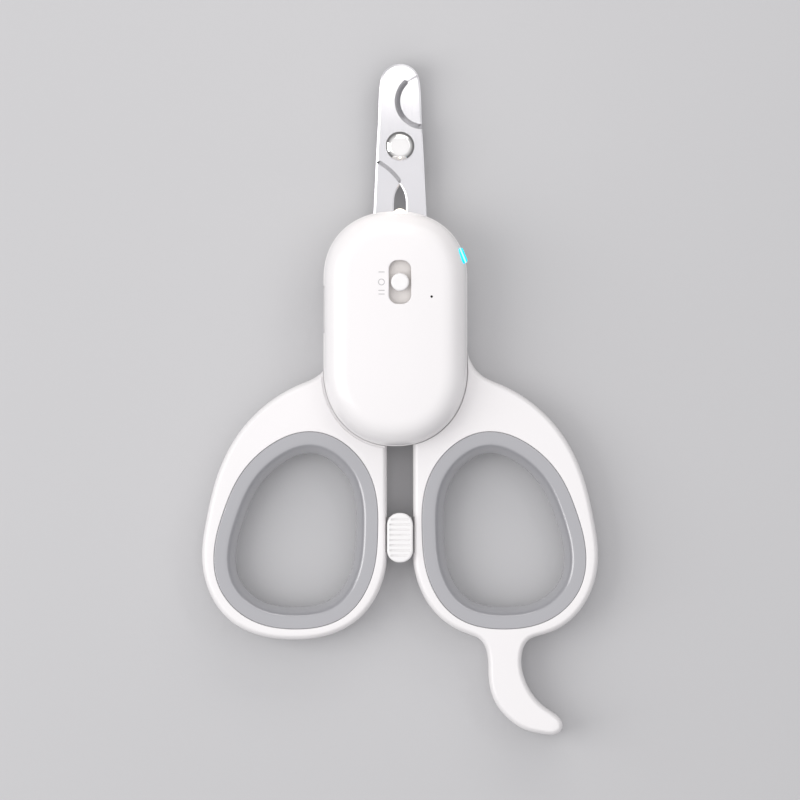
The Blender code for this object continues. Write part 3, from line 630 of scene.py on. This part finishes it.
# Cyan glow of the side lamp's lens, with a painted highlight line along its middle.
CYAN = lens_glow_painted_highlight((0.0, 0.60, 0.84), (0.95, 1.0, 1.0))


# Handles and soft rings

def sunk_hole(name, place, head_top, top, foot=-CLEAR):
    """Cutter for a screw's shank and, below it, for its head."""
    return turned(name, [(HEAD_HOLE, foot), (HEAD_HOLE, head_top), (SCREW_HOLE, head_top),
                         (SCREW_HOLE, top)], HOLE_TURNS, at(*place))


def latch_room(name, low_x, high_x, spare, travel, half):
    """Cutter for the lock plate's tongue or hook, with a spare length at each end."""
    first, last = LATCH_Y
    return block(name, (low_x, first - spare, LATCH_MID - half),
                 (high_x, last + spare + travel, LATCH_MID + half))


def handle(name, side, body):
    """A handle on its side, 1 for right and -1 for left, with its recesses."""
    flip = np.array if side > 0 else mirrored
    outline = flip(handle_outline(side > 0))
    hole = np.array(smooth(HOLE, closed=True))
    seat, core = flip(grown(hole, GRIP_WIDTH)), flip(grown(hole, GRIP_LIP))
    radius = edge_radius(outline, seat, EDGE_REACH)
    outer = []
    for a in np.linspace(pi / 2, 0, QUARTER):
        outer.append(level(grown(outline, -radius * (1 - cos(a))), HANDLE_ROUND * (1 - sin(a))))
    for a in np.linspace(0, pi / 2, QUARTER):
        outer.append(level(grown(outline, -radius * (1 - cos(a))),
                           HANDLE_TOP - HANDLE_ROUND * (1 - sin(a))))
    lip = [(SEAT_LIP * (1 - cos(a)), SEAT_LIP * (1 - sin(a))) for a in np.linspace(0, pi / 2, 4)]
    inner = [level(grown(seat, d), HANDLE_TOP - z) for d, z in reversed(lip)]
    inner += [level(seat, WEB[1]), level(core, WEB[1]), level(core, WEB[0]), level(seat, WEB[0])]
    inner += [level(grown(seat, d), z) for d, z in lip]
    piece = solid(name, outer, inner)
    blade_foot = (FRONT_BLADE if side > 0 else REAR_BLADE)[0]
    head_top = (FRONT_HEAD if side > 0 else REAR_HEAD)[1] + HEAD_GAP
    tools = [flared("step", capsule(SEAM), ARM_TOP, HANDLE_TOP, STEP_EDGE),
             prism("bed", flip(rectangle(*BLADE_BED)), blade_foot - BED_GAP, ARM_TOP + 2 * CLEAR)]
    tools += [sunk_hole("hole", (side * x, y), head_top, HANDLE_HOLE_TOP) for x, y in BLADE_SCREWS]
    near, far, low_y, high_y = LOCK_POCKET
    near, far = sorted((side * near, side * far))
    low, high = POCKET_HEIGHTS
    tools.append(block("pocket", (near, low_y, low), (far, high_y, high)))
    thin = LATCH_HALF + GAP
    if side > 0:
        low_x, high_x, spare = RIGHT_SLOT
        tools += [sunk_hole("hole", place, head_top, HANDLE_HOLE_TOP) for place in BOSSES[:2]]
        tools.append(latch_room("slot", low_x, high_x, spare, LATCH_TRAVEL, thin))
    else:
        wide, deep = LAND
        tools += [flared("land", capsule(wide), HANDLE_TOP - deep, HANDLE_TOP + 0.05, STEP_EDGE),
                  latch_room("entry", *LEFT_ENTRY, GAP, 0.0, LATCH_TALL),
                  latch_room("channel", *LEFT_ENTRY, GAP, LATCH_TRAVEL, thin),
                  latch_room("cavity", *LEFT_CAVITY, GAP, LATCH_TRAVEL, LATCH_TALL)]
    carve(piece, *tools)
    shown(piece, body, WHITE, "white_plastic", name.replace("_shell", ""))


def grip(name, side, body):
    """The soft ring: flat outside, rolled over into the finger hole, and hollow round the web."""
    flip = np.array if side > 0 else mirrored
    hole = np.array(smooth(HOLE, closed=True))
    outer = GRIP_WIDTH - RING_GAP
    front = RING_PROFILE + [(outer - RING_EDGE, RING_TOP)]
    front += [(outer - RING_EDGE + RING_EDGE * sin(a), RING_TOP - RING_EDGE + RING_EDGE * cos(a))
              for a in np.linspace(pi / 8, pi / 2, 4)]
    front += [(outer, WEB[1] + GAP), (GRIP_LIP - GAP, WEB[1] + GAP)]
    profile = front + [(d, HANDLE_TOP - z) for d, z in reversed(front) if z > RING_WAIST]
    rings = [level(flip(grown(hole, d)), z) for d, z in profile]
    shown(solid(name, rings, wrap=True), body, GREY, "grey_rubber", name.replace("_ring", "_grip"))


# Blades

def blade_loops(notch, mouth):
    """The right-hand blade's outline at its inner and outer face; its chamfer's width and drop."""
    x, y, *radii, last = notch
    side = smooth(BLADE_SIDE + BLADE_FAR_SIDE, start=(0.0, 1.0))
    shoulder = smooth(BLADE_SHOULDER, end=(0.0, -1.0))
    near_side = np.array([p for p in side if p[0] > 0])
    low = y - max(radii) - BITE_MARGIN
    high = max(p[1] for p in mouth[1]) + BITE_MARGIN
    below = [p for p in side if p[1] < low and p[0] > 0]
    above = [p for p in side[len(below):] if p[1] > high or p[0] < 0]
    loops = []
    for radius, end in zip(radii, mouth):
        reach = np.interp(y - radius, near_side[:, 1], near_side[:, 0])
        first = 270.0 + np.degrees(np.arcsin((reach - x) / radius))
        bite = [tuple(p) for p in arc((x, y), radius, first, last, BITE_POINTS)]
        loops.append(np.array(below + bite + end + above + shoulder[1:] + BLADE_SHANK))
    bite_start = len(below)
    bite_stop = bite_start + BITE_POINTS + 1
    shoulder_start = bite_stop + 1 + len(above)
    shoulder_stop = shoulder_start + len([p for p in shoulder[1:] if p[1] > SHOULDER_END])
    wide, drop = (np.full(len(loops[0]), value) for value in BLADE_EDGE)
    for first, stop, edge in ((bite_start, bite_stop, BITE_EDGE),
                              (shoulder_start, shoulder_stop, SHOULDER_EDGE),
                              (shoulder_stop, None, SHANK_EDGE)):
        wide[first:stop], drop[first:stop] = edge
    return *loops, wide, drop


def blade(name, side, body):
    """Blade with its bite, ground so that its cutting edge runs against the other blade."""
    low, high = FRONT_BLADE if side > 0 else REAR_BLADE
    inner, outer, wide, drop = (blade_loops(FRONT_NOTCH, FRONT_MOUTH) if side > 0
                                else blade_loops(REAR_NOTCH, REAR_MOUTH))
    back, front = (inner, outer) if side > 0 else (outer, inner)
    if side < 0:
        back, front, wide, drop = mirrored(back), mirrored(front), wide[::-1], drop[::-1]
    tubes = [[level(grown(back, -wide * 0.5), low), level(back, low + drop * 0.5),
              level(front, high - drop), level(grown(front, -wide), high)]]
    eyes = [(PIVOT, EYE_RADIUS)] + [((side * x, y), SCREW_HOLE) for x, y in BLADE_SCREWS]
    for place, radius in eyes:
        tubes.append([level(circle(place, radius + d), z) for d, z in (
            (EYE_EDGE, low), (0.0, low + EYE_EDGE), (0.0, high - EYE_EDGE), (EYE_EDGE, high))])
    shown(solid(name, *tubes), body, BLADE, "blade_steel", name.replace("_steel", ""),
          crease=BLADE_CREASE)


def pivot():
    """The bolt through both blades, its washer and its nut."""
    bolt = turned("pivot_screw", BOLT_PROFILE, BOLT_TURNS, at(*PIVOT))
    shown(bolt, "root", CHROME, "chrome", "pivot_bolt", crease=BOLT_CREASE)
    foot = REAR_BLADE[0]
    rings = [level(circle(PIVOT, r), foot + z) for r, z in WASHER_PROFILE]
    shown(solid("pivot_ring", rings, wrap=True), "root", STEEL, "steel", "pivot_washer")
    flat = NUT_CORNER * cos(pi / 6)
    angles = np.arange(NUT_TURNS) * 2 * pi / NUT_TURNS
    hexagon = flat / np.cos((angles % (pi / 3)) - pi / 6)
    sides = []
    for share, z in NUT_PROFILE:
        r = np.minimum(hexagon, flat * share)
        sides.append(level(np.column_stack((PIVOT[0] + r * np.cos(angles),
                                            PIVOT[1] + r * np.sin(angles))), foot + z))
    hole = [level(circle(PIVOT, r), foot + z) for r, z in NUT_HOLE]
    shown(solid("pivot_hex_nut", sides, hole), "root", STEEL, "steel", "pivot_nut")


def screw(name, place, head_low, head_high, tip, body, node):
    """Pan-head screw driven from the back, with a cross recess."""
    share, point = POINT
    profile = [(r, head_low + z) for r, z in HEAD_PROFILE]
    profile += [(HEAD_RADIUS, head_high), (SCREW_RADIUS, head_high), (SCREW_RADIUS, tip - point),
                (share * SCREW_RADIUS, tip)]
    piece = turned(name, profile, SCREW_TURNS, at(*place))
    x, y = place
    low, high = head_low - 0.5, 0.5 * (head_low + head_high) + 0.1
    carve(piece, *(block("arm", (x - a, y - b, low), (x + a, y + b, high))
                   for a, b in (RECESS, RECESS[::-1])))
    shown(piece, body, STEEL, "steel", node)


# Housing

def cover_rings(inset, drop):
    """Rings of a pillow surface from its rim to near its middle, or of its inside, under it."""
    top = COVER_TOP - drop - COVER_DOME
    radius = COVER_ROUND - inset
    made = [level(capsule(-RIM_STEP - inset - radius * (1 - cos(a))), top - radius * (1 - sin(a)))
            for a in np.linspace(0, pi / 2, COVER_STEPS)]
    edge = made[-1][:, :2]
    middle = np.column_stack((np.full(len(edge), MID_X), np.clip(edge[:, 1], *DOME_SPAN)))
    for share in DOME_SHARES:
        z = top + COVER_DOME * (1 - (1 - share) ** 2)
        made.append(level(edge + share * (middle - edge), z))
    return made


def sideways(y, z):
    """Turns a flat piece so that its height runs out of the left wall."""
    return Matrix(((0, 0, -1, 0), (1, 0, 0, y * MM), (0, -1, 0, z * MM), (0, 0, 0, 1)))


def outward(x, y, z):
    """Turns a flat piece so that its height runs out of the right wall at the lens."""
    return at(x, y, z) @ Matrix.Rotation(LENS_TURN, 4, "Z") @ Matrix.Rotation(pi / 2, 4, "Y")


def forward(z):
    """Turns a round piece so that its height runs towards the blades."""
    return at(0, 0, z) @ Matrix.Rotation(-pi / 2, 4, "X")


def lens_piece(name, profile):
    """An oblong piece at the side lens; its height runs out of the wall."""
    height, length = LENS_SIZE
    outline = rounded((0, 0), height, length, 0.5 * height - 0.01, 10)
    piece = solid(name, [level(grown(outline, d), z) for d, z in profile])
    piece.data.transform(outward(*LENS))
    return piece


def port_cutter():
    width, height = (size + PORT_MARGIN for size in PORT_SIZE)
    tool = prism("port", rounded((0, 0), width, height, 0.5 * height - 0.01, 12), *PORT_CUT)
    tool.data.transform(sideways(*PORT))
    return tool


def housing():
    tray = solid("housing_tray", [level(capsule(d), z) for d, z in BASE_PROFILE])
    low, high = BOSS_HOLE
    tools = [port_cutter()]
    for x, y in BOSSES:
        tools.append(prism("hole", circle((x, y), SCREW_HOLE), low, high) if x > 0
                     else sunk_hole("hole", (x, y), BASE_HEAD[1] + HEAD_GAP, high, low))
    carve(tray, *tools)
    shown(tray, "root", WHITE, "white_plastic", "housing_base")

    wide, tall = COVER_FOOT_EDGE
    rings = list(reversed(cover_rings(0.0, 0.0)))
    rings += [level(capsule(-RIM_STEP), COVER_FOOT + tall),
              level(capsule(-RIM_STEP - wide), COVER_FOOT),
              level(capsule(-RIM_STEP - COVER_WALL), COVER_FOOT)]
    rings += cover_rings(COVER_WALL, COVER_TOP_WALL)
    shell = solid("housing_shell", rings)
    rounding, drop = SLOT_EDGE
    slot = rounded((0, SWITCH_Y), *SLOT, 10)
    lamp = [(LAMP_RADIUS + LAMP_GAP, y) for y in LAMP_HOLE]
    carve(shell,
          flared("slot", slot, UNDER_COVER, COVER_TOP - drop, rounding),
          prism("pin", circle(PINHOLE, PINHOLE_RADIUS, 24), UNDER_COVER, COVER_TOP + CLEAR),
          turned("lamp", lamp, turn=forward(LAMP_AXIS)),
          lens_piece("lens", [(LENS_GAP, -LENS_CUT), (LENS_GAP, LENS_CUT)]),
          port_cutter())
    shown(shell, "root", WHITE, "white_plastic", "housing_cover")


def switch():
    """The knob, and under it the light floor of the slot, which slides with it."""
    width, length, low, high = CARRIER
    r, foot = KNOB_RADIUS, high + 0.1
    profile = [(KNOB_STEM, low + 0.2), (KNOB_STEM, foot), (r - 0.1, foot), (r, foot + 0.1)]
    profile += [(r - KNOB_EDGE + KNOB_EDGE * cos(a), KNOB_TOP + KNOB_EDGE * (sin(a) - 1))
                for a in np.linspace(0, pi / 2, 6)]
    shown(turned("switch_button", profile + KNOB_DISH, KNOB_TURNS, at(0, SWITCH_Y)),
          "switch_slider", BUTTON, "white_plastic", "switch_knob")
    wide, tall = CARRIER_EDGE
    rings = [level(rounded((0, SWITCH_Y), width - i, length - i, CARRIER_CORNER), z)
             for i, z in ((wide, low), (0.0, low + tall), (0.0, high - tall), (wide, high))]
    floor = solid("switch_floor", rings)
    half, thick = FORK_SIZE
    for near in FORKS:
        fork = block("fork", (-half, SWITCH_Y + near, FORK_FOOT),
                     (half, SWITCH_Y + near + thick, low + 0.3))
        carve(floor, fork, operation="UNION")
    radius, *ends = CARRIER_EYE
    carve(floor, prism("eye", circle((0, SWITCH_Y), radius), *ends))
    shown(floor, "switch_slider", BEIGE, "beige_plastic", "switch_carrier")


def cover_height(x, y):
    """Height of the cover's face near its middle."""
    shell = bpy.data.objects["housing_shell"]
    hit, place, _, _ = shell.ray_cast(Vector((x * MM, y * MM, 0.1)), Vector((0, 0, -1)))
    return place.z / MM if hit else COVER_TOP


def marks():
    """Generic position marks beside the switch: one bar, a ring, and two bars."""
    made = []
    for number, y in enumerate(BARS):
        z = cover_height(MARK_X, y)
        made.append(prism(f"mark_{number}", rounded((BAR_X, y), *BAR_SIZE, 3),
                          z - MARK_RELIEF, z + MARK_RELIEF))
    z = cover_height(MARK_X, SWITCH_Y)
    inner, outer = RING_MARK
    rings = [level(circle((MARK_X, SWITCH_Y), r), z + d) for r, d in (
        (inner, -MARK_RELIEF), (inner, MARK_RELIEF), (outer, MARK_RELIEF), (outer, -MARK_RELIEF))]
    made.append(solid("mark_ring", rings, wrap=True))
    for mark in made:
        shown(mark, "root", PRINT, "black_plastic")


def lamps():
    """The front lamp's resin and the lens in front of the side lamp."""
    nose = [(LAMP_RADIUS * cos(a), LAMP_NOSE + LAMP_RADIUS * sin(a))
            for a in np.linspace(0.15, 1.5, 12)]
    profile = LAMP_FOOT + [(LAMP_RADIUS, LAMP_NOSE)] + nose
    lamp = turned("front_lamp", profile, turn=forward(LAMP_AXIS))
    shown(lamp, "root", LAMP, "lamp", "front_led")
    profile = [(0.0, LENS_FOOT), (0.0, 0.0)]
    profile += [(LENS_EDGE * (cos(a) - 1), LENS_EDGE * sin(a))
                for a in np.linspace(0.2, pi / 2, 7)]
    shown(lens_piece("lens_window", profile), "root", CYAN, "cyan_lens", "side_lens")


def socket():
    """Charge socket: a steel shell, and inside it a tongue with its contacts."""
    width, height = PORT_SIZE
    outer = rounded((0, 0), width, height, 0.5 * height - 0.02, 12)
    inner = rounded((0, 0), width - 2 * SOCKET_WALL, height - 2 * SOCKET_WALL,
                    0.5 * height - SOCKET_WALL - 0.02, 12)
    back, bottom, edge, mouth = SOCKET_DEPTH
    shell = solid("socket_shell", [
        level(outer, back), level(outer, edge), level(grown(outer, edge - mouth), mouth),
        level(grown(inner, mouth - edge), mouth), level(inner, edge), level(inner, bottom)])
    width, height, *ends = TONGUE
    tongue = prism("socket_tongue", rounded((0, 0), width, height, 0.3, 4), *ends)
    half, tall, low, high = CONTACT_SIZE
    bars = [block("socket_contacts", (x - half, -tall, low), (x + half, tall, high))
            for x in CONTACTS]
    contacts = carve(bars[0], *bars[1:], operation="UNION")
    for piece, finish, slot, nodes in ((shell, STEEL, "steel", ["charge_socket"]),
                                       (tongue, BLACK, "black_plastic", []),
                                       (contacts, GOLD, "steel", [])):
        piece.data.transform(sideways(*PORT))
        shown(piece, "root", finish, slot, *nodes)


def lock():
    """Sliding lock's button with its cross ribs."""
    width, length, low, high = LOCK_BUTTON
    outline = rounded((0, LOCK_Y), width, length, 0.5 * width - 0.15, 16)
    rings = [level(grown(outline, -0.2), low), level(outline, low + 0.2)]
    for a in np.linspace(0, pi / 2, 6):
        rings.append(level(grown(outline, -LOCK_EDGE * (1 - cos(a))),
                           high - LOCK_EDGE * (1 - sin(a))))
    button = solid("lock_slider", rings)
    count, first, pitch = RIBS
    radius, start = GROOVE_ROUND
    tools = []
    for i in range(count):
        y = first - pitch * i
        past = max(0.0, abs(y - LOCK_Y) - start)
        reach = min(GROOVE_REACH, sqrt(max(GROOVE_LEAST, radius ** 2 - past ** 2)))
        profile = [(r, d - reach) for r, d in GROOVE] + [(r, reach - d) for r, d in GROOVE[::-1]]
        across = at(0, y, high - GROOVE_DEPTH) @ Matrix.Rotation(pi / 2, 4, "Y")
        tools.append(turned("groove", profile, 16, across))
    carve(button, *tools)
    half, long, foot, bite = LOCK_STEM
    stem = block("stem", (-half, LOCK_Y - long, foot), (half, LOCK_Y + long, low + bite))
    carve(button, stem, operation="UNION")
    shown(button, "lock", BUTTON, "white_plastic", "lock_button")


handle("right_handle_shell", 1, "root")
handle("left_handle_shell", -1, "left")
grip("right_ring", 1, "root")
grip("left_ring", -1, "left")
blade("front_blade_steel", 1, "root")
blade("rear_blade_steel", -1, "left")
pivot()
housing()
switch()
marks()
lamps()
socket()
lock()
for number, (x, y) in enumerate(BLADE_SCREWS, 1):
    screw(f"front_shank_screw_{number}", (x, y), *FRONT_HEAD, FRONT_BLADE[1] - SHANK_TIP, "root",
          f"front_blade_screw_{number}")
    screw(f"rear_shank_screw_{number}", (-x, y), *REAR_HEAD, REAR_BLADE[1] - SHANK_TIP, "left",
          f"rear_blade_screw_{number}")
for number, (x, y) in enumerate(BOSSES, 1):
    screw(f"case_screw_{number}", (x, y), *(FRONT_HEAD if x > 0 else BASE_HEAD), SCREW_TIP,
          "root", f"housing_screw_{number}")

# CAD nodes that keep their shape and get a finish
for node, finish in (("battery", FOIL), ("battery_lead_red", RED), ("battery_lead_black", BLACK),
                     ("circuit_board", GREEN), ("charge_chip", BLACK), ("switch_case", STEEL),
                     ("switch_lever", BLACK), ("side_led", LAMP), ("indicator_led", DARK_LAMP),
                     ("lock_plate", BUTTON), ("lock_screw", STEEL), ("lock_pin", STEEL)):
    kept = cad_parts[node]
    kept.data.materials.clear()
    kept.data.materials.append(finish)


# Stage, in metres

# Height and brightness of the daylight
SKY = ((0.0, 0.14), (0.25, 0.25), (0.5, 0.74), (0.8, 0.98), (0.94, 0.98), (1.0, 1.12))
SKY_TINT = (0.995, 0.985, 1.0)
SKY_STRENGTH = 0.95
FLOOR = (0.545, 0.545, 0.555)
FLOOR_RADIUS = 900.0                     # in millimetres, like the floor's two heights
FLOOR_HEIGHTS = (-20.0, -0.02)
LENS_LENGTH = 600.0
SENSOR = 36.0
FRAME_WIDTH = 0.16                       # what the camera sees
FRAME_HEIGHT = 0.006                     # the height at which it sees that much
CAMERA_SHIFT = -0.0001                   # a hair off the axis, so that up in the view is plain
CLIP = (0.05, 20.0)
LIGHTS = (                               # name, place, aim, size, power, colour
    ("key", (-0.52, -0.03, 0.54), (0, 0, 0), (0.45, 0.55), 1.76, (1.0, 0.99, 0.98)),
    ("left", (-0.62, 0.0, 0.22), (0, 0, 0.01), (0.5, 0.16), 0.55, (1.0, 1.0, 1.0)),
    ("far", (0.12, 0.55, 0.34), (0, 0, 0.01), (0.7, 0.2), 0.6, (1.0, 0.98, 0.95)),
    ("streak", (0.40, 0.20, 0.64), (0, 0, 0.01), (0.5, 0.07), 0.22, (0.98, 0.99, 1.0)),
    ("glow", (-0.001, 0.046, 0.016), (-0.001, 0.0, 0.016), (0.028, 0.006), 0.0006,
     (1.0, 0.95, 0.88)),
    ("tip", (0.0, 0.080, 0.10), (0, 0.080, 0), (0.03, 0.028), 0.005, (1.0, 0.96, 0.93)))


def sky():
    """Daylight that is brightest overhead."""
    world = bpy.data.worlds.new("studio")
    bpy.context.scene.world = world
    world.use_nodes = True
    nodes, links = world.node_tree.nodes, world.node_tree.links
    place = nodes.new("ShaderNodeTexCoord")
    split = nodes.new("ShaderNodeSeparateXYZ")
    ramp = nodes.new("ShaderNodeValToRGB")
    stops = ramp.color_ramp.elements
    while len(stops) < len(SKY):
        stops.new(0.5)
    for stop, (height, value) in zip(stops, SKY):
        stop.position = height
        stop.color = (*(share * value for share in SKY_TINT), 1.0)
    links.new(place.outputs["Generated"], split.inputs["Vector"])
    links.new(split.outputs["Z"], ramp.inputs["Fac"])
    links.new(ramp.outputs["Color"], nodes["Background"].inputs["Color"])
    nodes["Background"].inputs["Strength"].default_value = SKY_STRENGTH


def studio():
    floor = solid("floor", [level(circle((0, 0), FLOOR_RADIUS, 96), z) for z in FLOOR_HEIGHTS])
    made = Finish("floor", FLOOR, 0.75)
    made.tint(made.noise(3.0), FLOOR, [0.985 * value for value in FLOOR])
    floor.data.materials.append(made.bump(made.noise(900.0), 0.02).material)
    sky()
    for name, place, aim, size, power, colour in LIGHTS:
        light = bpy.data.lights.new(name, "AREA")
        light.shape = "ELLIPSE" if name == "tip" else "RECTANGLE"
        light.size, light.size_y = size
        light.energy = power
        light.color = colour
        lamp = bpy.data.objects.new(name, light)
        lamp.location = place
        lamp.rotation_euler = (Vector(aim) - Vector(place)).to_track_quat("-Z", "Y").to_euler()
        lamp.visible_camera = False
        lamp.visible_glossy = name != "glow"
        bpy.context.scene.collection.objects.link(lamp)

    camera = bpy.data.cameras.new("camera")
    camera.sensor_width = SENSOR
    camera.lens = LENS_LENGTH
    camera.clip_start, camera.clip_end = CLIP
    eye = bpy.data.objects.new("camera", camera)
    eye.location = (0.0, CAMERA_SHIFT, FRAME_WIDTH * LENS_LENGTH / SENSOR + FRAME_HEIGHT)
    bpy.context.scene.collection.objects.link(eye)
    bpy.context.scene.camera = eye
    bpy.context.scene.view_settings.view_transform = "Standard"


studio()
